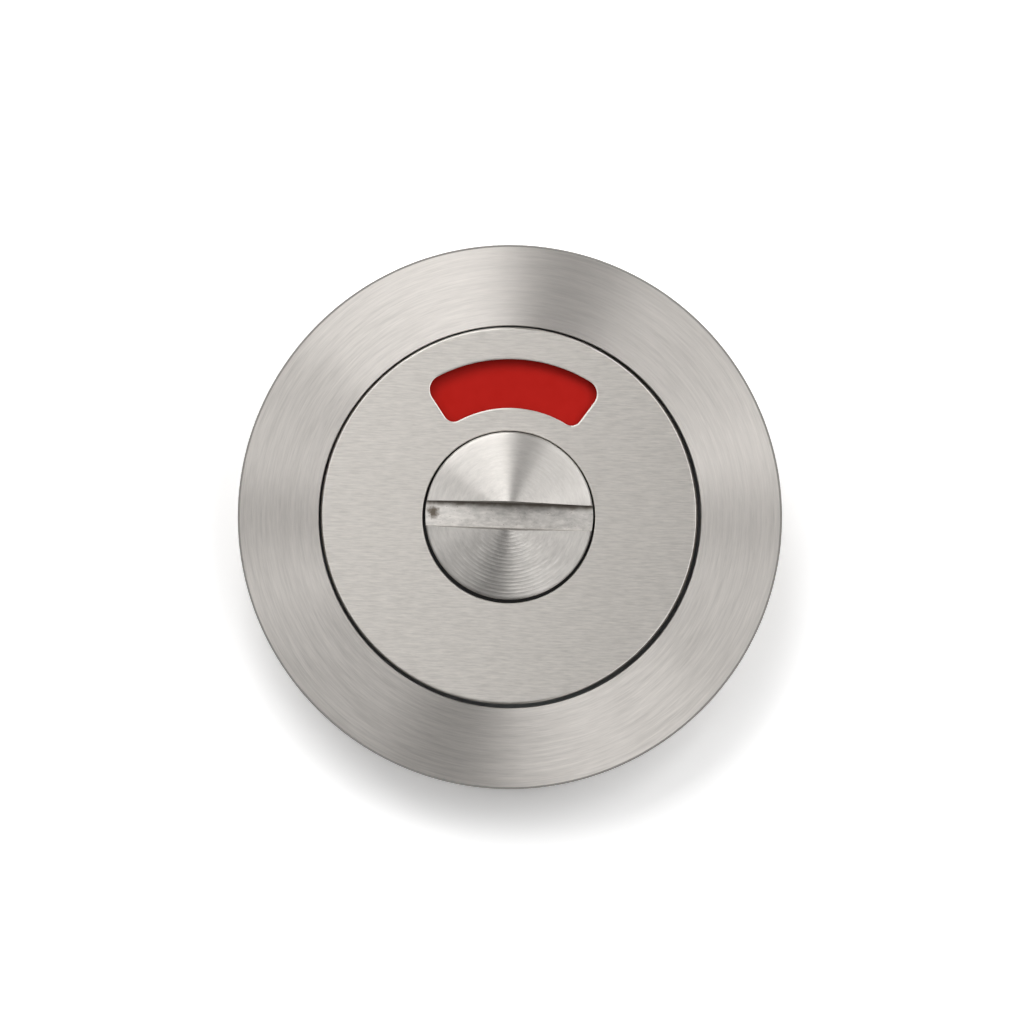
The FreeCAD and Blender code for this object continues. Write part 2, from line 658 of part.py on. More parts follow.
def make_threaded_inserts():
    """Two collared inserts for the bolts that come through the door."""
    place = ("Fits.fixing_circle", "0")
    body = add_cylinder("insert_body", "Sizes.insert_body", "Sizes.plate_thickness", "0", *place)
    collar = add_cylinder(
        "insert_collar", "Sizes.insert_collar", "Sizes.insert_collar_height", "Sizes.plate_thickness", *place
    )
    length = "Sizes.plate_thickness + Sizes.insert_collar_height"
    bore = add_cylinder("insert_bore", "Sizes.insert_bore", length, "0", *place)
    right = subtract("insert_right", fuse("insert_solid", [body, collar]), bore)
    left = doc.addObject("Part::Mirroring", "insert_left")
    left.Source = right
    left.Normal = Vector(1, 0, 0)
    pair = doc.addObject("Part::Compound", "threaded_inserts")
    pair.Label = "threaded_inserts"
    pair.Links = [right, left]
    return pair


parts = [
    make_rose_ring(),
    make_face_cap(),
    make_coin_turn(),
    make_indicator_dial(),
    make_film("red_film", 0),
    make_film("green_film", -90),
    make_base_plate(),
    make_bush(),
    make_wave_washer(),
    make_thrust_washer(),
    make_circlip(),
    make_snap_ring(),
    make_stop_pin(),
    make_threaded_inserts(),
]
doc.recompute()

for item in doc.Objects:
    if "Invalid" in item.State or "Error" in item.State:
        raise RuntimeError("%s did not recompute" % item.Label)

os.makedirs("parts", exist_ok=True)
for piece in parts:
    if piece.Shape.isNull() or not piece.Shape.isValid():
        raise RuntimeError("%s has no valid shape" % piece.Label)
    piece.Shape.exportStep("parts/%s.step" % piece.Label)
    box = piece.Shape.BoundBox
    print("%-17s solids %d  volume %9.2f  x %7.2f %7.2f  y %7.2f %7.2f  z %6.2f %6.2f" % (
        piece.Label, len(piece.Shape.Solids), piece.Shape.Volume,
        box.XMin, box.XMax, box.YMin, box.YMax, box.ZMin, box.ZMax,
    ))
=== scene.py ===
import math

import bpy
from bpy.props import FloatProperty, FloatVectorProperty, PointerProperty
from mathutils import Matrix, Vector


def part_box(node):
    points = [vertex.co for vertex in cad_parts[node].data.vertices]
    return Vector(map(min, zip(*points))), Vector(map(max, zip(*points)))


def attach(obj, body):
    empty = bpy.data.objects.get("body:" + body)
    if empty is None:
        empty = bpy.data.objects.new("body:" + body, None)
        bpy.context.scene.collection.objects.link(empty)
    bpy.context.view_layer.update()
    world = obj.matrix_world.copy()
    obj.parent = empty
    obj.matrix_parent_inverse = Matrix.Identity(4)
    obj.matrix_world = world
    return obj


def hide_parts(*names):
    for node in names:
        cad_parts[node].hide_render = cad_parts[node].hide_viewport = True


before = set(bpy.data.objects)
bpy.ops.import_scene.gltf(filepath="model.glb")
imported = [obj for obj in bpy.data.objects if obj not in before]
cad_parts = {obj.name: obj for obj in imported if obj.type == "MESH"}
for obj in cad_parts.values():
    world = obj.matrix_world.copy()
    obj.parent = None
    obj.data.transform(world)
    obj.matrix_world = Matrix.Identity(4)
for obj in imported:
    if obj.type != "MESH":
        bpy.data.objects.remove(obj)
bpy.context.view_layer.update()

bl_info = {
    "name": "Coin Release Rose",
    "version": (1, 0, 0),
    "blender": (4, 5, 0),
    "location": "View3D > Sidebar > Rose",
    "description": "Models the satin steel faces of a bathroom coin release and lights them",
    "category": "Object",
}

MM = 0.001

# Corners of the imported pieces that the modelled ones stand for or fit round
RING_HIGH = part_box("rose_ring")[1]
CAP_LOW, CAP_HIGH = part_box("face_cap")
TURN_LOW, TURN_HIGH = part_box("coin_turn")
DIAL_LOW, DIAL_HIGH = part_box("indicator_dial")
CLIP_LOW, CLIP_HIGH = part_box("circlip")
WIRE_LOW, WIRE_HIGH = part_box("snap_ring")

RING_SIT = (0.07 * MM, -0.13 * MM)


def length(name, description, metres):
    """A size that a user may change."""
    return FloatProperty(name=name, description=description, default=metres, unit="LENGTH", precision=6)


def colour(name, description, rgb):
    """A colour that a user may change."""
    return FloatVectorProperty(
        name=name, description=description, default=rgb, size=3, subtype="COLOR", min=0.0, max=1.0
    )


def share(name, description, value):
    """A value between nothing and one."""
    return FloatProperty(
        name=name, description=description, default=value, subtype="FACTOR", min=0.0, max=1.0
    )


def angle(name, description, degrees):
    """An angle, written in degrees and kept in radians."""
    return FloatProperty(
        name=name, description=description, default=math.radians(degrees), subtype="ANGLE"
    )


def pixels(name, description, value):
    """A place or a size in the picture."""
    return FloatProperty(name=name, description=description, default=value, subtype="PIXEL")


def strength(name, description, value):
    """A brightness that may pass one."""
    return FloatProperty(name=name, description=description, default=value, min=0.0)


# Settings

class RingSettings(bpy.types.PropertyGroup):
    """Sizes and finish of the outer ring."""
    sit: FloatVectorProperty(
        name="Sit", description="The ring's axis beside that of the release",
        default=RING_SIT, size=2, unit="LENGTH"
    )
    radius: length("Radius", "Outer radius of the rose", RING_HIGH.x - RING_SIT[0])
    bore: length("Bore", "Radius of the hole round the cap", CAP_HIGH.x + 0.28 * MM)
    face: length("Face", "Height of the face at the bore", CAP_HIGH.z)
    fall: length("Fall", "How far the face drops towards the rim", 0.25 * MM)
    edge: length("Edge", "Chamfer round the rim", 0.2 * MM)
    bore_edge: length("Bore edge", "Chamfer at the bore", 0.05 * MM)
    thickness: length("Thickness", "Thickness of the face", 1.5 * MM)
    skirt: length("Skirt", "Thickness of the skirt", 1.2 * MM)
    groove: length("Groove", "Depth of the wire groove in the skirt", 0.25 * MM)
    groove_play: length("Groove play", "Room above and below the wire", 0.05 * MM)
    steel: colour("Steel", "Colour of the brushed steel", (0.66, 0.628, 0.594))
    # The chamfer's darker steel is painted shade: it stands for the dark line round the rim, not for a darker
    # metal.
    rim_shade_steel: colour("Edge steel", "Colour of the chamfer, which isn't brushed", (0.36, 0.345, 0.325))
    roughness: share("Roughness", "Roughness across the brushing", 0.37)


class CapSettings(bpy.types.PropertyGroup):
    """Sizes and finish of the inner cap with the window."""
    radius: length("Radius", "Outer radius of the cap", CAP_HIGH.x)
    face: length("Face", "Height of the face", CAP_HIGH.z)
    foot: length("Foot", "Height of the skirt's lower edge", CAP_LOW.z)
    sheet: length("Sheet", "Thickness of the metal", 1.0 * MM)
    edge: length("Edge", "Radius of the rounded edge", 0.25 * MM)
    hole: length("Hole", "Radius of the hole for the release", TURN_HIGH.x + 0.22 * MM)
    hole_drop: length("Hole drop", "How far the hole lies below the middle", 0.13 * MM)
    hole_left: length("Hole left", "How far the hole lies left of the middle", 0.04 * MM)
    window_inner: length("Window inner", "Inner radius of the window", 10.28 * MM)
    window_outer: length("Window outer", "Outer radius of the window", 14.96 * MM)
    window_reach: angle("Window reach", "Half the angle that the window spans", 35.0)
    outer_corner: length("Outer corner", "Radius of the window's outer corners", 1.4 * MM)
    inner_corner: length("Inner corner", "Radius of the window's inner corners", 1.0 * MM)
    broken_edge: length("Broken edge", "Rounding round the hole", 0.12 * MM)
    window_edge: length("Window edge", "Width of the pressed edge round the window", 0.17 * MM)
    window_lean: angle("Window lean", "Slope of that edge", 20.0)
    grain: angle("Grain", "Slope of the straight brushing", 3.4)
    steel: colour("Steel", "Colour of the brushed steel", (0.672, 0.64, 0.6))
    roughness: share("Roughness", "Roughness across the brushing", 0.37)


class ReleaseSettings(bpy.types.PropertyGroup):
    """Sizes and finish of the turned coin release."""
    radius: length("Radius", "Radius of the head", TURN_HIGH.x)
    under: length("Under", "Height of the head's underside", DIAL_HIGH.z)
    top: length("Top", "Height of the head at its middle", CAP_HIGH.z + 1.472 * MM)
    fall: length("Fall", "How far the face drops towards its edge", 0.892 * MM)
    edge: length("Edge", "Rounding round the head", 0.2 * MM)
    slot_width: length("Slot width", "Width of the coin slot", 2.35 * MM)
    slot_depth: length("Slot depth", "Depth of the slot in the middle", 2.37 * MM)
    slot_lip: length("Slot lip", "Height of the slot's flare at the ends", 0.13 * MM)
    slot_flare: angle("Slot flare", "Lean of the slot's flare from upright", 13.0)
    saw_radius: length("Saw radius", "Radius of the slot's curved floor", 30.0 * MM)
    stem: length("Stem", "Radius of the stem", 5.0 * MM)
    foot: length("Foot", "Height of the stem's foot", TURN_LOW.z)
    foot_edge: length("Foot edge", "Chamfer at the stem's foot", 0.3 * MM)
    seat: length("Seat", "Radius of the dial's seat", 6.2 * MM)
    seat_flat: length("Seat flat", "Distance of the seat's flats from the axis", 5.2 * MM)
    groove: length("Groove", "Depth of the circlip's groove", 0.2 * MM)
    groove_play: length("Groove play", "Room above and below the circlip", 0.02 * MM)
    socket: length("Socket", "Width of the square socket", 5.2 * MM)
    socket_depth: length("Socket depth", "Depth of the square socket", 5.5 * MM)
    ring_pitch: length("Ring pitch", "Distance between the tool marks", 0.35 * MM)
    ring_depth: length("Ring depth", "Depth of the tool marks", 0.012 * MM)
    ring_side: angle("Ring side", "Where round the head the tool marks are deepest", -72.0)
    steel: colour("Steel", "Colour of the turned steel", (0.66, 0.633, 0.6))
    # This colour also paints shade: the wall's shadow at the foot of the slot's upper wall and the dark line
    # along its lip.
    stain: colour("Stain", "Colour of the dirt in the slot", (0.1, 0.076, 0.052))
    stain_in: length("Stain in", "Middle of the stain from the slot's left end", 0.75 * MM)
    stain_up: length("Stain up", "Middle of the stain above the slot's middle", 0.14 * MM)
    stain_core: length("Stain core", "Radius of the stain's dark middle", 0.12 * MM)
    stain_size: length("Stain size", "Radius at which the stain ends", 0.8 * MM)
    roughness: share("Roughness", "Roughness across the tool marks", 0.35)


class WorksSettings(bpy.types.PropertyGroup):
    """Colours of the pieces behind the face."""
    red: colour("Red", "Field for a thrown lock", (0.45, 0.007, 0.003))
    green: colour("Green", "Field for an open lock", (0.02, 0.3, 0.06))
    # Near-black is painted shade: the dial seen through the gap round the release reads as dark as that gap.
    nylon: colour("Nylon", "Dial and bush", (0.03, 0.03, 0.03))
    casting: colour("Casting", "Die-cast plate", (0.5, 0.51, 0.52))
    spring: colour("Spring", "Clip, washers, wire and pin", (0.42, 0.42, 0.43))
    brass: colour("Brass", "Threaded inserts", (0.71, 0.57, 0.3))


class StageSettings(bpy.types.PropertyGroup):
    """Camera, floor and lights."""
    rim_left: pixels("Rim left", "Rim's centre from the picture's left", 509.9)
    rim_down: pixels("Rim down", "Rim's centre from the picture's top", 517.1)
    rim_size: pixels("Rim size", "Rim's radius in the picture", 272.2)
    picture: pixels("Picture", "Width and height of the picture", 1024.0)
    roll: angle("Roll", "Turn of the camera about its view", 1.9)
    distance: length("Distance", "Camera above the rim", 0.7)
    sensor: length("Sensor", "Width of the camera's sensor", 36.0 * MM)
    floor: length("Floor", "Width of the floor", 6.0)
    paper: colour("Paper", "Colour of the floor", (0.93, 0.93, 0.93))
    paper_lift: strength("Paper lift", "How much brighter the floor shows than it lights", 1.52)
    world: strength("World", "Light from all round", 0.06)
    lamp_distance: length("Lamp distance", "Softboxes from the rose", 0.6)


SETTINGS = {
    "rose_ring_settings": RingSettings,
    "rose_cap_settings": CapSettings,
    "rose_release_settings": ReleaseSettings,
    "rose_works_settings": WorksSettings,
    "rose_stage_settings": StageSettings,
}

# Softboxes: degrees round the rose from the right, degrees from overhead, width and height, radiance
SOFTBOXES = {
    "key_softbox": (117.5, 38.0, (0.37, 0.25), 5.15),
    "key_side_softbox": (161.0, 43.0, (0.2, 0.3), 2.1),
    "upper_right_softbox": (39.0, 33.0, (0.34, 0.26), 3.6),
    "top_softbox": (90.0, 20.0, (0.17, 0.17), 2.0),
    "right_softbox": (356.0, 22.0, (0.18, 0.2), 2.0),
    "left_softbox": (182.0, 20.0, (0.17, 0.17), 1.3),
    "lower_right_softbox": (313.0, 38.0, (0.34, 0.35), 1.15),
    "lower_left_softbox": (218.0, 45.0, (0.35, 0.3), 0.45),
}

# Modelling with operators

SEGMENTS = 256
MERGE = 1e-7
OVERSHOOT = 0.5 * MM
SHARP_FROM = math.radians(40)
SMOOTH_BELOW = math.radians(28)

# A face looks along an axis where that part of its normal is larger than this
FACING = 0.9


def object_mode():
    """Leaves edit mode."""
    if bpy.context.mode != "OBJECT":
        bpy.ops.object.mode_set(mode="OBJECT")


def only(piece):
    """Selects one object alone and makes it active."""
    object_mode()
    bpy.ops.object.select_all(action="DESELECT")
    piece.select_set(True)
    bpy.context.view_layer.objects.active = piece


def start_from_point(name, point):
    """A plane drawn together into one vertex at a point, left in edit mode."""
    object_mode()
    bpy.ops.object.select_all(action="DESELECT")
    bpy.ops.mesh.primitive_plane_add(size=MM, location=(0, 0, 0))
    piece = bpy.context.object
    piece.name = name
    bpy.ops.object.mode_set(mode="EDIT")
    bpy.ops.mesh.select_mode(type="VERT")
    bpy.ops.mesh.select_all(action="SELECT")
    bpy.ops.mesh.merge(type="CENTER")
    bpy.ops.transform.translate(value=point)
    return piece


def draw_closed(name, points):
    """A closed chain of edges, extruded from point to point, left in edit mode and selected."""
    piece = start_from_point(name, points[0])
    for here, there in zip(points, points[1:] + points[:1]):
        step = Vector(there) - Vector(here)
        bpy.ops.mesh.extrude_region_move(TRANSFORM_OT_translate={"value": step})
    bpy.ops.mesh.select_all(action="SELECT")
    bpy.ops.mesh.remove_doubles(threshold=MERGE)
    return piece


def turn_outline(name, outline, axis=(0.0, 0.0)):
    """A closed outline of radius and height, spun about a vertical axis into a solid."""
    piece = draw_closed(name, [(axis[0] + radius, axis[1], height) for radius, height in outline])
    bpy.ops.mesh.spin(steps=SEGMENTS, angle=math.tau, center=(*axis, 0), axis=(0, 0, 1))
    tidy_mesh()
    object_mode()
    return piece


def tidy_mesh():
    """Merges doubles, drops stray edges and turns the faces outwards, in edit mode."""
    bpy.ops.mesh.select_all(action="SELECT")
    bpy.ops.mesh.remove_doubles(threshold=MERGE)
    bpy.ops.mesh.delete_loose()
    bpy.ops.mesh.select_all(action="SELECT")
    bpy.ops.mesh.normals_make_consistent(inside=False)


def extrude_outline(name, points, step):
    """A flat outline filled and extruded into a block."""
    piece = draw_closed(name, points)
    bpy.ops.mesh.edge_face_add()
    bpy.ops.mesh.extrude_region_move(TRANSFORM_OT_translate={"value": step})
    tidy_mesh()
    object_mode()
    return piece


def bridge_outlines(name, low, high):
    """A block between two outlines of as many points."""
    upper = draw_closed(name + "_upper", high)
    lower = draw_closed(name, low)
    only(lower)
    upper.select_set(True)
    bpy.ops.object.join()
    bpy.ops.object.mode_set(mode="EDIT")
    bpy.ops.mesh.select_all(action="SELECT")
    bpy.ops.mesh.bridge_edge_loops()
    bpy.ops.mesh.select_all(action="SELECT")
    bpy.ops.mesh.fill_holes(sides=0)
    tidy_mesh()
    object_mode()
    return lower


def add_block(name, low, high):
    """A box between two corners, as a cutter."""
    size = Vector(high) - Vector(low)
    object_mode()
    bpy.ops.object.select_all(action="DESELECT")
    bpy.ops.mesh.primitive_cube_add(size=1.0, location=(Vector(low) + Vector(high)) / 2, scale=size)
    bpy.context.object.name = name
    return bpy.context.object


def add_disc(name, radius, depth, centre, rotation=(0, 0, 0), vertices=SEGMENTS):
    """A cylinder at its size and place."""
    object_mode()
    bpy.ops.object.select_all(action="DESELECT")
    bpy.ops.mesh.primitive_cylinder_add(
        vertices=vertices, radius=radius, depth=depth, location=centre, rotation=rotation
    )
    bpy.context.object.name = name
    return bpy.context.object


def cut_away(piece, cutter):
    """Cuts one solid out of another and deletes the cutter."""
    before = len(piece.data.vertices)
    only(piece)
    modifier = piece.modifiers.new("cut", "BOOLEAN")
    modifier.operation = "DIFFERENCE"
    modifier.solver = "EXACT"
    modifier.object = cutter
    bpy.ops.object.modifier_apply(modifier=modifier.name)
    bpy.data.objects.remove(cutter)
    if len(piece.data.vertices) == before:
        raise RuntimeError("nothing was cut from " + piece.name)


def select_sharp_edges(piece, test):
    """Selects the sharp edges whose two ends pass a test, and stays in edit mode."""
    only(piece)
    bpy.ops.object.mode_set(mode="EDIT")
    bpy.ops.mesh.select_mode(type="EDGE")
    bpy.ops.mesh.select_all(action="DESELECT")
    bpy.ops.mesh.edges_select_sharp(sharpness=SHARP_FROM)
    bpy.ops.object.mode_set(mode="OBJECT")
    corners = piece.data.vertices
    for edge in piece.data.edges:
        edge.select = edge.select and all(test(corners[index].co) for index in edge.vertices)
    if not any(edge.select for edge in piece.data.edges):
        raise RuntimeError("no edge was found on " + piece.name)
    bpy.ops.object.mode_set(mode="EDIT")


def round_edges(piece, test, radius, segments):
    """Rounds the sharp edges that pass a test."""
    select_sharp_edges(piece, test)
    bpy.ops.mesh.bevel(offset=radius, segments=segments, affect="EDGES", clamp_overlap=False)
    object_mode()


def select_faces(piece, test):
    """Selects the faces whose centre and normal pass a test, and stays in edit mode."""
    only(piece)
    bpy.ops.object.mode_set(mode="EDIT")
    bpy.ops.mesh.select_mode(type="FACE")
    bpy.ops.mesh.select_all(action="DESELECT")
    bpy.ops.object.mode_set(mode="OBJECT")
    for face in piece.data.polygons:
        face.select = test(face.center, face.normal)
    if not any(face.select for face in piece.data.polygons):
        raise RuntimeError("no face was found on " + piece.name)
    bpy.ops.object.mode_set(mode="EDIT")


def settle(piece, material, body, node):
    """Puts the place into the mesh, shades it, gives it its finish and ties it to the frame."""
    only(piece)
    bpy.ops.object.transform_apply(location=True, rotation=True, scale=True)
    bpy.ops.object.shade_smooth_by_angle(angle=SMOOTH_BELOW)
    modifier = piece.modifiers.new("even_shading", "WEIGHTED_NORMAL")
    modifier.keep_sharp = True
    bpy.ops.object.modifier_apply(modifier=modifier.name)
    piece.data.materials.append(material)
    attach(piece, body)
    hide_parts(node)


def finish_faces(piece, material, test):
    """Gives the faces that pass a test a finish beside the piece's first one."""
    piece.data.materials.append(material)
    select_faces(piece, test)
    piece.active_material_index = len(piece.data.materials) - 1
    bpy.ops.object.material_slot_assign()
    object_mode()


def arc(centre, radius, start, stop, steps):
    """Points of an arc, with its angles in radians."""
    points = []
    for step in range(steps + 1):
        turn = start + (stop - start) * step / steps
        points.append((centre[0] + radius * math.cos(turn), centre[1] + radius * math.sin(turn)))
    return points


# Finishes

BRUSH_DEPTH = 2e-6
NOISE_LOW = 0.3
NOISE_HIGH = 0.7

# Places of the sockets that aren't reached by name
VECTOR_SCALE = 3
MIX_COLOURS = (6, 7)
MIX_RESULT = 2


class Finish:
    """A material being put together from nodes."""

    def __init__(self, name):
        self.material = bpy.data.materials.new(name)
        self.material.use_nodes = True
        self.tree = self.material.node_tree
        self.tree.nodes.clear()
        self.shader = self.add("BsdfPrincipled")
        output = self.add("OutputMaterial")
        self.tree.links.new(self.shader.outputs["BSDF"], output.inputs["Surface"])

    def add(self, kind, inputs=None, **settings):
        """Adds a node, sets its options, and joins or fills its inputs."""
        node = self.tree.nodes.new("ShaderNode" + kind)
        for key, value in settings.items():
            setattr(node, key, value)
        self.join(node, inputs or {})
        return node

    def join(self, node, inputs):
        """Links the inputs that come from other nodes and sets the plain ones."""
        for key, value in inputs.items():
            if isinstance(value, bpy.types.NodeSocket):
                self.tree.links.new(value, node.inputs[key])
            else:
                node.inputs[key].default_value = value

    def point(self, shift=(0, 0, 0), turn=0.0, scale=(1, 1, 1)):
        """Object coordinates, moved, turned about Z and scaled."""
        place = self.add("TexCoord").outputs["Object"]
        inputs = {"Vector": place, "Location": shift, "Rotation": (0, 0, turn), "Scale": scale}
        return self.add("Mapping", inputs).outputs["Vector"]

    def vector(self, operation, first, second=(0, 0, 0), scale=1.0):
        """A step of vector arithmetic, with a number or a vector as its result."""
        node = self.add("VectorMath", {0: first, 1: second, VECTOR_SCALE: scale}, operation=operation)
        return node.outputs["Value" if operation in ("LENGTH", "DOT_PRODUCT", "DISTANCE") else "Vector"]

    def math(self, operation, first, second=0.0, third=0.0):
        """A step of arithmetic."""
        node = self.add("Math", {0: first, 1: second, 2: third}, operation=operation)
        return node.outputs["Value"]

    def noise(self, place, scale=1.0, detail=3.0, roughness=0.55):
        """A noise with so many changes to a unit of its place."""
        inputs = {"Vector": place, "Scale": scale, "Detail": detail, "Roughness": roughness}
        return self.add("TexNoise", inputs).outputs["Fac"]

    def span(self, value, low, high, to_low=0.0, to_high=1.0, smooth=False):
        """A value taken from one range to another, held at the ends."""
        inputs = {"Value": value, "From Min": low, "From Max": high, "To Min": to_low, "To Max": to_high}
        style = "SMOOTHSTEP" if smooth else "LINEAR"
        return self.add("MapRange", inputs, interpolation_type=style).outputs["Result"]

    def spread(self, noise, low=0.0, high=1.0):
        """The middle of a noise, where most of it lies, drawn out over a range."""
        return self.span(noise, NOISE_LOW, NOISE_HIGH, low, high)

    def blend(self, factor, first, second):
        """Two colours mixed by a factor."""
        node = self.add("Mix", {"Factor": factor}, data_type="RGBA")
        for place, value in zip(MIX_COLOURS, (first, second)):
            socket = node.inputs[place]
            if isinstance(value, bpy.types.NodeSocket):
                self.tree.links.new(value, socket)
            else:
                socket.default_value = (*value, 1.0)
        return node.outputs[MIX_RESULT]

    def relief(self, height, depth, below=None):
        """A bump of that depth in metres, on another one where there is one below."""
        inputs = {"Height": height, "Distance": depth, "Strength": 1.0}
        if below is not None:
            inputs["Normal"] = below
        return self.add("Bump", inputs).outputs["Normal"]

    def world_direction(self, direction):
        """An object direction as the shader's tangent takes it, so that it turns with the piece."""
        settings = {"vector_type": "VECTOR", "convert_from": "OBJECT", "convert_to": "WORLD"}
        return self.add("VectorTransform", {"Vector": direction}, **settings).outputs["Vector"]


def shade(rgb, factor):
    """A lighter or darker copy of a colour."""
    return tuple(min(1.0, part * factor) for part in rgb)


def satin(finish, steel, roughness, streak, fine, tangent, contrast):
    """Brushed steel from a broad and a fine streak, with the sheen drawn out along the tangent."""
    broad_share = 0.6
    middle_half = (0.25, 0.75)
    roughness_play = 0.05
    fine_part = finish.math("MULTIPLY", fine, 1.0 - broad_share)
    tone = finish.math("MULTIPLY_ADD", streak, broad_share, fine_part)
    smoother = roughness - roughness_play
    rougher = roughness + roughness_play
    dark = shade(steel, 1.0 - contrast)
    light = shade(steel, 1.0 + contrast)
    finish.join(finish.shader, {
        "Base Color": finish.blend(finish.spread(tone), dark, light),
        "Metallic": 1.0,
        "Roughness": finish.span(tone, *middle_half, smoother, rougher),
        "Anisotropic": 1.0,
        "Tangent": finish.world_direction(tangent),
        "Normal": finish.relief(tone, BRUSH_DEPTH),
    })


def round_place(finish, centre):
    """Distance from an upright axis, the direction away from it, and the way along the section."""
    place = finish.point((-centre[0], -centre[1], 0))
    flat = finish.vector("MULTIPLY", place, (1, 1, 0))
    radius = finish.vector("LENGTH", flat)
    height = finish.add("SeparateXYZ", {"Vector": place}).outputs["Z"]
    return radius, finish.vector("NORMALIZE", flat), finish.math("SUBTRACT", radius, height)


def round_streaks(finish, outward, section, along, across):
    """Noise drawn out into arcs: so many changes to a radian, and so many to a metre of the section."""
    height = finish.add("CombineXYZ", {"Z": finish.math("MULTIPLY", section, across)}).outputs["Vector"]
    return finish.noise(finish.vector("ADD", finish.vector("SCALE", outward, scale=along), height))


def straight_streaks(finish, grain, along, across):
    """Noise drawn out into straight lines: so many changes to a metre along and across them."""
    return finish.noise(finish.point(turn=-grain, scale=(along, across, along)))


def ring_finish(settings):
    """Satin steel brushed in circles."""
    finish = Finish("ring_steel_brushed")
    _, outward, section = round_place(finish, settings.sit)
    streak = round_streaks(finish, outward, section, along=4.5, across=4200.0)
    fine = round_streaks(finish, outward, section, along=14.0, across=11000.0)
    across = finish.vector("ADD", outward, (0, 0, -1))
    satin(finish, settings.steel, settings.roughness, streak, fine, across, contrast=0.15)
    return finish.material


def turned_edge_painted_shade(settings):
    """Plain turned steel of the ring's chamfer, which the brushing leaves out, in a darker steel that is
    painted shade for the dark line round the rim.
    """
    return plain_finish(
        "ring_edge_turned_painted_shade", settings.rim_shade_steel, metallic=1.0, roughness=0.35, grain=1800.0, depth=1e-6
    )


def cap_finish(settings):
    """Satin steel brushed straight across."""
    finish = Finish("cap_steel_brushed")
    streak = straight_streaks(finish, settings.grain, along=650.0, across=5600.0)
    fine = straight_streaks(finish, settings.grain, along=1400.0, across=13000.0)
    across = (-math.sin(settings.grain), math.cos(settings.grain), 0)
    satin(finish, settings.steel, settings.roughness, streak, fine, across, contrast=0.18)
    return finish.material


def release_finish(settings):
    """Turned steel with the tool's rings."""
    finish = Finish("release_steel_turned")
    radius, outward, section = round_place(finish, (0, 0))
    streak = round_streaks(finish, outward, section, along=4.0, across=2600.0)
    fine = round_streaks(finish, outward, section, along=12.0, across=9000.0)
    across = finish.vector("ADD", outward, (0, 0, -1))
    satin(finish, settings.steel, settings.roughness, streak, fine, across, contrast=0.15)
    rings = tool_rings(finish, radius, outward, streak, settings)
    brushing = finish.shader.inputs["Normal"].links[0].from_socket
    finish.join(finish.shader, {"Normal": finish.relief(rings, settings.ring_depth, brushing)})
    return finish.material


def tool_rings(finish, radius, outward, streak, settings):
    """Narrow rings at an even pitch that waver a little, deepest on one side of the head."""
    most_waver = 2.0
    side_starts = 0.3
    side_full = 0.95
    faint_side = 0.2
    faint_streak = 0.3
    waver = finish.math("MULTIPLY", streak, most_waver)
    turns = finish.math("MULTIPLY_ADD", radius, math.tau / settings.ring_pitch, waver)
    wave = finish.math("MULTIPLY_ADD", finish.math("SINE", turns), 0.5, 0.5)
    side = (math.cos(settings.ring_side), math.sin(settings.ring_side), 0)
    facing = finish.vector("DOT_PRODUCT", outward, side)
    deeper = finish.span(facing, side_starts, side_full, to_low=faint_side)
    uneven = finish.math("MULTIPLY", deeper, finish.spread(streak, low=faint_streak))
    return finish.math("MULTIPLY", finish.math("POWER", wave, 2.0), uneven)


def slot_finish(settings):
    """Milled slot: a greyer, rougher steel with a stain, specks of dirt, and a dark band at the foot of the
    upper wall that is partly grime and partly the wall's painted shadow, with a painted shade line along the
    wall's lip.
    """
    finish = Finish("release_slot_milled")
    place = finish.point()
    along = 1100.0
    across = 2400.0
    speck_starts = 0.66
    speck_full = 0.72
    speck_strength = 0.55
    mottle = finish.noise(finish.point(scale=(along, across, along)), detail=6.0, roughness=0.65)
    specks = finish.noise(place, scale=5200.0, detail=2.0)
    dirt = finish.span(specks, speck_starts, speck_full, to_high=speck_strength)
    soil_and_shade = finish.math("MAXIMUM", slot_stain(finish, place, settings), dirt)
    soil_and_shade = finish.math("MAXIMUM", soil_and_shade, slot_grime_and_shade(finish, place, settings))
    worn = shade(settings.steel, factor=0.55)
    bright = shade(settings.steel, factor=0.97)
    steel = finish.blend(finish.spread(mottle), worn, bright)
    finish.join(finish.shader, {
        # The stain colour also lays the painted shadow at the upper wall's foot and the painted shade on its
        # lip.
        "Base Color": finish.blend(soil_and_shade, steel, settings.stain),
        "Metallic": finish.math("SUBTRACT", 1.0, soil_and_shade),
        "Roughness": finish.spread(mottle, low=0.38, high=0.52),
        "Normal": finish.relief(mottle, depth=4e-6),
    })
    return finish.material


def slot_stain(finish, place, settings):
    """A ragged smudge on the slot's floor, near its left end."""
    left = -settings.radius + settings.stain_in
    floor = settings.top - settings.slot_depth + left ** 2 / (2 * settings.saw_radius)
    middle = (left, settings.stain_up, floor)
    fray = 1.2 * MM
    ragged = finish.math("MULTIPLY_ADD", finish.noise(place, scale=2600.0, detail=5.0), fray, -fray / 2)
    reach = finish.math("ADD", finish.vector("DISTANCE", place, middle), ragged)
    core = settings.stain_core
    return finish.span(reach, core, settings.stain_size, to_low=1.0, to_high=0.0, smooth=True)


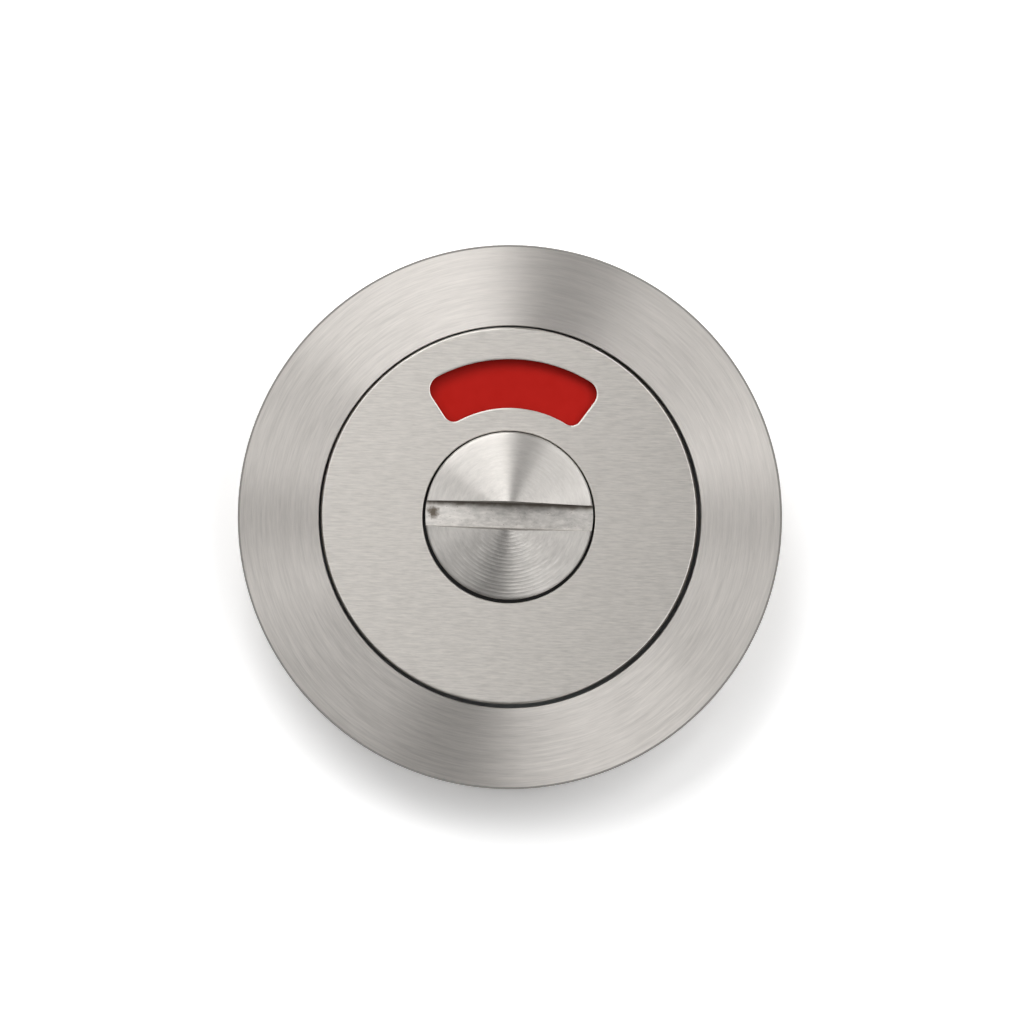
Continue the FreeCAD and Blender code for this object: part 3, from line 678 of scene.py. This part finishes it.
def slot_grime_and_shade(finish, place, settings):
    """Darkening along the foot of the slot's upper wall, partly grime and partly the wall's painted shadow,
    and a fainter painted shade line along the wall's lip.
    """
    upward = finish.add("SeparateXYZ", {"Vector": place}).outputs["Y"]
    below_wall = finish.math("SUBTRACT", settings.slot_width / 2, upward)
    foot_near = 0.3 * MM
    foot_far = 0.95 * MM
    floor_ends = -0.06 * MM
    lip_starts = -0.1 * MM
    lip_full = -0.2 * MM
    fray = 0.7 * MM
    ragged = finish.math("MULTIPLY_ADD", finish.noise(place, scale=1300.0, detail=5.0), fray, below_wall)
    # The band at the wall's foot: grime and the wall's painted shadow on the floor.
    foot = finish.span(ragged, foot_near, foot_far, to_low=0.9, to_high=0.0, smooth=True)
    # The line on the lip's flare: painted shade.
    lip = finish.span(below_wall, lip_full, lip_starts, to_low=0.6, to_high=0.0, smooth=True)
    on_floor = finish.math("GREATER_THAN", below_wall, floor_ends)
    return finish.math("MAXIMUM", finish.math("MULTIPLY", foot, on_floor), lip)


def plain_finish(name, rgb, metallic, roughness, grain, depth, contrast=0.08, specular=0.5):
    """A plain surface with a fine mottle in its colour, gloss and relief."""
    finish = Finish(name)
    mottle = finish.noise(finish.point(), scale=grain, detail=4.0)
    roughness_play = 0.06
    smoother = roughness - roughness_play
    rougher = roughness + roughness_play
    finish.join(finish.shader, {
        "Base Color": finish.blend(mottle, shade(rgb, 1.0 - contrast), shade(rgb, 1.0 + contrast)),
        "Metallic": metallic,
        "Specular IOR Level": specular,
        "Roughness": finish.spread(mottle, smoother, rougher),
        "Normal": finish.relief(mottle, depth),
    })
    return finish.material


def dress(node, material):
    """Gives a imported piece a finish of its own."""
    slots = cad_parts[node].data.materials
    slots.clear()
    slots.append(material)


# Pieces

class ROSE_OT_ring(bpy.types.Operator):
    """Turn the outer ring from its section."""
    bl_idname = "rose.ring"
    bl_label = "Outer ring"
    bl_options = {"REGISTER", "UNDO"}

    def execute(self, context):
        sizes = context.scene.rose_ring_settings
        slope = sizes.fall / (sizes.radius - sizes.bore)
        under = sizes.face - sizes.thickness
        skirt = sizes.radius - sizes.skirt
        brow = sizes.radius - sizes.edge
        brow_height = sizes.face - slope * (brow - sizes.bore)
        low = WIRE_LOW.z - sizes.groove_play
        high = WIRE_HIGH.z + sizes.groove_play
        outline = [
            (sizes.bore, under),
            (sizes.bore, sizes.face - sizes.bore_edge),
            (sizes.bore + sizes.bore_edge, sizes.face - slope * sizes.bore_edge),
            (brow, brow_height),
            (sizes.radius, brow_height - sizes.edge),
            (sizes.radius, 0.0),
            (skirt, 0.0),
            (skirt, low),
            (skirt + sizes.groove, low),
            (skirt + sizes.groove, high),
            (skirt, high),
            (skirt, under),
        ]
        ring = turn_outline("outer_ring", outline, sizes.sit)
        settle(ring, ring_finish(sizes), "rose", "rose_ring")
        axis = Vector((*sizes.sit, 0.0))

        def on_edge(centre, normal):
            slanting = 1.0 - FACING < normal.z < FACING
            return slanting and (centre - axis).xy.length > brow

        # The chamfer gets the darkened steel: painted shade round the rim.
        finish_faces(ring, turned_edge_painted_shade(sizes), on_edge)
        return {"FINISHED"}


class ROSE_OT_cap(bpy.types.Operator):
    """Model the inner cap with its hole and its window."""
    bl_idname = "rose.cap"
    bl_label = "Inner cap"
    bl_options = {"REGISTER", "UNDO"}

    def execute(self, context):
        sizes = context.scene.rose_cap_settings
        middle = (0, 0, (sizes.face + sizes.foot) / 2)
        cap = add_disc("inner_cap", sizes.radius, sizes.face - sizes.foot, middle)
        only(cap)
        bpy.ops.object.transform_apply(location=True)
        select_faces(cap, lambda centre, normal: normal.z < -FACING)
        bpy.ops.mesh.inset(thickness=sizes.sheet)
        hollow = sizes.face - sizes.sheet - sizes.foot
        bpy.ops.mesh.extrude_region_move(TRANSFORM_OT_translate={"value": (0, 0, hollow)})
        object_mode()
        hole_depth = 2 * (sizes.sheet + OVERSHOOT)
        hole_middle = (-sizes.hole_left, -sizes.hole_drop, sizes.face - sizes.sheet / 2)
        cut_away(cap, add_disc("hole_cutter", sizes.hole, hole_depth, hole_middle))
        floor = sizes.face - sizes.sheet - OVERSHOOT
        outline = [(*point, floor) for point in self.window(sizes)]
        cut_away(cap, extrude_outline("window_cutter", outline, (0, 0, hole_depth)))
        drop = sizes.window_edge * math.tan(sizes.window_lean)
        edge_low = [(*point, sizes.face - drop) for point in self.window(sizes)]
        edge_high = [(*point, sizes.face + drop) for point in self.window(sizes, 2 * sizes.window_edge)]
        cut_away(cap, bridge_outlines("window_edge_cutter", edge_low, edge_high))

        def on_face(corner):
            return abs(corner.z - sizes.face) < MERGE

        def on_rim(corner):
            return on_face(corner) and corner.xy.length > sizes.radius - OVERSHOOT

        def on_hole(corner):
            return on_face(corner) and corner.xy.length < sizes.window_inner - OVERSHOOT

        round_edges(cap, on_rim, sizes.edge, segments=6)
        round_edges(cap, on_hole, sizes.broken_edge, segments=3)
        settle(cap, cap_finish(sizes), "rose", "face_cap")
        return {"FINISHED"}

    def window(self, sizes, grow=0.0):
        """The window's outline, grown outwards: two arcs, rounded corners and straight sides."""
        outer_middle = sizes.window_outer - sizes.outer_corner
        inner_middle = sizes.window_inner + sizes.inner_corner
        outer_swing = math.asin(sizes.outer_corner / outer_middle)
        inner_swing = math.asin(sizes.inner_corner / inner_middle)
        outer_corner = sizes.outer_corner + grow
        inner_corner = sizes.inner_corner + grow
        quarter = math.pi / 2
        right = quarter - sizes.window_reach
        left = quarter + sizes.window_reach
        outer_steps = 48
        inner_steps = 36
        corner_steps = 10

        def middle(distance, turn):
            """A corner's middle, by its distance from the axis and its angle."""
            return (distance * math.cos(turn), distance * math.sin(turn))

        outer_right = right + outer_swing
        outer_left = left - outer_swing
        inner_left = left - inner_swing
        inner_right = right + inner_swing
        upper = arc((0, 0), sizes.window_outer + grow, outer_right, outer_left, outer_steps)
        lower = arc((0, 0), sizes.window_inner - grow, inner_left, inner_right, inner_steps)
        upper_left = arc(
            middle(outer_middle, outer_left), outer_corner, outer_left, left + quarter, corner_steps
        )
        lower_left = arc(
            middle(inner_middle, inner_left), inner_corner, left + quarter, inner_left + math.pi, corner_steps
        )
        lower_right = arc(
            middle(inner_middle, inner_right), inner_corner, inner_right - math.pi, right - quarter,
            corner_steps
        )
        upper_right = arc(
            middle(outer_middle, outer_right), outer_corner, right - quarter, outer_right, corner_steps
        )
        return upper + upper_left[1:] + lower_left[:-1] + lower + lower_right[1:] + upper_right[:-1]


class ROSE_OT_release(bpy.types.Operator):
    """Turn the coin release, then cut its slot, flats and socket."""
    bl_idname = "rose.release"
    bl_label = "Coin release"
    bl_options = {"REGISTER", "UNDO"}

    def execute(self, context):
        sizes = context.scene.rose_release_settings
        rim = sizes.top - sizes.fall
        brow = sizes.radius - sizes.edge
        rows = 14
        edge_steps = 5
        lean = math.atan(sizes.fall / brow)
        edge = arc((brow, rim - sizes.edge), sizes.edge, 0.0, math.pi / 2 - lean, edge_steps)
        face = [(brow * (1 - row / rows), rim + sizes.fall * row / rows) for row in range(1, rows)]
        low = CLIP_LOW.z - sizes.groove_play
        high = CLIP_HIGH.z + sizes.groove_play
        outline = [
            (0.0, sizes.foot),
            (sizes.stem - sizes.foot_edge, sizes.foot),
            (sizes.stem, sizes.foot + sizes.foot_edge),
            (sizes.stem, low),
            (sizes.stem - sizes.groove, low),
            (sizes.stem - sizes.groove, high),
            (sizes.stem, high),
            (sizes.stem, DIAL_LOW.z),
            (sizes.seat, DIAL_LOW.z),
            (sizes.seat, sizes.under),
            (sizes.radius, sizes.under),
            *edge,
            *face,
            (0.0, sizes.top),
        ]
        release = turn_outline("coin_release", outline)
        half = sizes.slot_width / 2
        saw_centre = (0, 0, sizes.top - sizes.slot_depth + sizes.saw_radius)
        upright = (math.pi / 2, 0, 0)
        saw_steps = 3 * SEGMENTS
        saw = add_disc("saw_cutter", sizes.saw_radius, sizes.slot_width, saw_centre, upright, saw_steps)
        cut_away(release, saw)
        start = -sizes.radius - OVERSHOOT
        bottom = rim - sizes.slot_lip
        above = sizes.top + OVERSHOOT
        lip = half + (above - bottom) * math.tan(sizes.slot_flare)
        flare = [
            (start, -half, bottom), (start, half, bottom),
            (start, lip, above), (start, -lip, above),
        ]
        cut_away(release, extrude_outline("flare_cutter", flare, (-2 * start, 0, 0)))
        for side in (-1, 1):
            near = (side * sizes.seat_flat, -sizes.radius, DIAL_LOW.z - OVERSHOOT / 2)
            far = (side * sizes.radius, sizes.radius, sizes.under)
            cut_away(release, add_block("flat_cutter", near, far))
        reach = sizes.socket / 2
        socket_low = (-reach, -reach, sizes.foot - OVERSHOOT)
        socket_high = (reach, reach, sizes.foot + sizes.socket_depth)
        cut_away(release, add_block("socket_cutter", socket_low, socket_high))
        settle(release, release_finish(sizes), "turn", "coin_turn")

        def in_slot(centre, normal):
            wall = abs(normal.y) > FACING and abs(centre.y) < lip
            floor = normal.z > FACING and abs(centre.y) < half
            return centre.z > sizes.under and (wall or floor)

        finish_faces(release, slot_finish(sizes), in_slot)
        return {"FINISHED"}


class ROSE_OT_works(bpy.types.Operator):
    """Give the pieces behind the face their finishes."""
    bl_idname = "rose.works"
    bl_label = "Films, dial and works"
    bl_options = {"REGISTER", "UNDO"}

    def execute(self, context):
        colours = context.scene.rose_works_settings
        film = {"metallic": 0.0, "roughness": 0.42, "grain": 900.0, "depth": 2e-6}
        film.update(contrast=0.06, specular=0.12)
        dress("red_film", plain_finish("red_satin_film", colours.red, **film))
        dress("green_film", plain_finish("green_satin_film", colours.green, **film))
        # The near-black nylon of the dial and bush is painted shade for the gap round the release.
        nylon = plain_finish(
            "moulded_nylon_painted_shade", colours.nylon, metallic=0.0, roughness=0.5, grain=600.0, depth=4e-6
        )
        casting = plain_finish(
            "cast_zinc", colours.casting, metallic=1.0, roughness=0.55, grain=1400.0, depth=2e-5,
            contrast=0.14
        )
        spring = plain_finish(
            "spring_steel_drawn", colours.spring, metallic=1.0, roughness=0.36, grain=1800.0, depth=3e-6
        )
        brass = plain_finish(
            "turned_brass", colours.brass, metallic=1.0, roughness=0.32, grain=1800.0, depth=3e-6
        )
        for node in ("indicator_dial", "bush"):
            dress(node, nylon)
        for node in ("wave_washer", "thrust_washer", "circlip", "snap_ring", "stop_pin"):
            dress(node, spring)
        dress("base_plate", casting)
        dress("threaded_inserts", brass)
        return {"FINISHED"}


class ROSE_OT_stage(bpy.types.Operator):
    """Set up the camera, the floor and the lights."""
    bl_idname = "rose.stage"
    bl_label = "Stage"
    bl_options = {"REGISTER", "UNDO"}

    def execute(self, context):
        stage = context.scene.rose_stage_settings
        ring = context.scene.rose_ring_settings
        self.place_camera(context, stage, ring)
        self.lay_floor(stage)
        for name, place in SOFTBOXES.items():
            self.hang_softbox(name, stage.lamp_distance, *place)
        self.light_world(context, stage)
        context.scene.view_settings.view_transform = "Standard"
        return {"FINISHED"}

    def place_camera(self, context, stage, ring):
        """Looks straight down at the rose, so that its rim falls where the picture has it."""
        rim_height = ring.face - ring.fall - ring.edge
        per_pixel = ring.radius / stage.rim_size
        right = Vector((math.cos(stage.roll), math.sin(stage.roll), 0))
        up = Vector((-math.sin(stage.roll), math.cos(stage.roll), 0))
        left_by = (stage.picture / 2 - stage.rim_left) * per_pixel
        down_by = (stage.rim_down - stage.picture / 2) * per_pixel
        bpy.ops.object.camera_add()
        camera = context.object
        camera.name = "picture_camera"
        camera.location = Vector((*ring.sit, rim_height + stage.distance)) + right * left_by + up * down_by
        camera.rotation_euler = (0, 0, stage.roll)
        camera.data.sensor_width = stage.sensor / MM
        camera.data.lens = stage.sensor / MM * stage.distance / (stage.picture * per_pixel)
        camera.data.clip_start = 0.05
        camera.data.clip_end = 20.0
        context.scene.camera = camera

    def lay_floor(self, stage):
        """White paper that takes the shadow and shows brighter than it lights the rose."""
        bpy.ops.mesh.primitive_plane_add(size=stage.floor, location=(0, 0, 0))
        floor = bpy.context.object
        floor.name = "floor"
        finish = Finish("matt_paper")
        contrast = 0.005
        mottle = finish.noise(finish.point(), scale=400.0)
        path = finish.add("LightPath").outputs
        seen = finish.math("MAXIMUM", path["Is Camera Ray"], path["Is Glossy Ray"])
        seen = finish.math("MAXIMUM", seen, path["Is Transmission Ray"])
        lift = finish.math("MULTIPLY_ADD", seen, stage.paper_lift - 1.0, 1.0)
        darker = shade(stage.paper, 1.0 - contrast)
        lighter = shade(stage.paper, 1.0 + contrast)
        paper = finish.blend(mottle, darker, lighter)
        finish.join(finish.shader, {
            "Base Color": finish.vector("SCALE", paper, scale=lift),
            "Roughness": 1.0,
            "Specular IOR Level": 0.0,
        })
        floor.data.materials.append(finish.material)

    def hang_softbox(self, name, distance, turn, tilt, size, radiance):
        """An area lamp aimed at the rose, placed by its angles round the rose and from overhead."""
        turn = math.radians(turn)
        tilt = math.radians(tilt)
        way = Vector((math.sin(tilt) * math.cos(turn), math.sin(tilt) * math.sin(turn), math.cos(tilt)))
        bpy.ops.object.light_add(type="AREA", location=way * distance)
        lamp = bpy.context.object
        lamp.name = name
        lamp.rotation_euler = (-way).to_track_quat("-Z", "Y").to_euler()
        lamp.data.shape = "RECTANGLE"
        lamp.data.size, lamp.data.size_y = size
        lamp.data.energy = radiance * math.pi * size[0] * size[1]

    def light_world(self, context, stage):
        """A faint even light from all round."""
        world = bpy.data.worlds.new("soft_room")
        world.use_nodes = True
        background = world.node_tree.nodes["Background"]
        background.inputs["Color"].default_value = (1, 1, 1, 1)
        background.inputs["Strength"].default_value = stage.world
        context.scene.world = world


PIECES = (ROSE_OT_ring, ROSE_OT_cap, ROSE_OT_release, ROSE_OT_works, ROSE_OT_stage)


class ROSE_PT_panel(bpy.types.Panel):
    """Lists the pieces of the rose in the sidebar."""
    bl_idname = "ROSE_PT_panel"
    bl_label = "Coin release rose"
    bl_space_type = "VIEW_3D"
    bl_region_type = "UI"
    bl_category = "Rose"

    def draw(self, context):
        """Puts a button for each piece into the panel."""
        for piece in PIECES:
            self.layout.operator(piece.bl_idname, text=piece.bl_label)


CLASSES = (*SETTINGS.values(), *PIECES, ROSE_PT_panel)


def register():
    """Adds the classes and hangs the settings on the scene."""
    for cls in CLASSES:
        bpy.utils.register_class(cls)
    for name, group in SETTINGS.items():
        setattr(bpy.types.Scene, name, PointerProperty(type=group))


def unregister():
    """Takes the settings and the classes away again."""
    for name in SETTINGS:
        delattr(bpy.types.Scene, name)
    for cls in reversed(CLASSES):
        bpy.utils.unregister_class(cls)


def main():
    """Builds the rose and its stage."""
    register()
    bpy.ops.rose.ring()
    bpy.ops.rose.cap()
    bpy.ops.rose.release()
    bpy.ops.rose.works()
    bpy.ops.rose.stage()


if __name__ == "__main__":
    main()
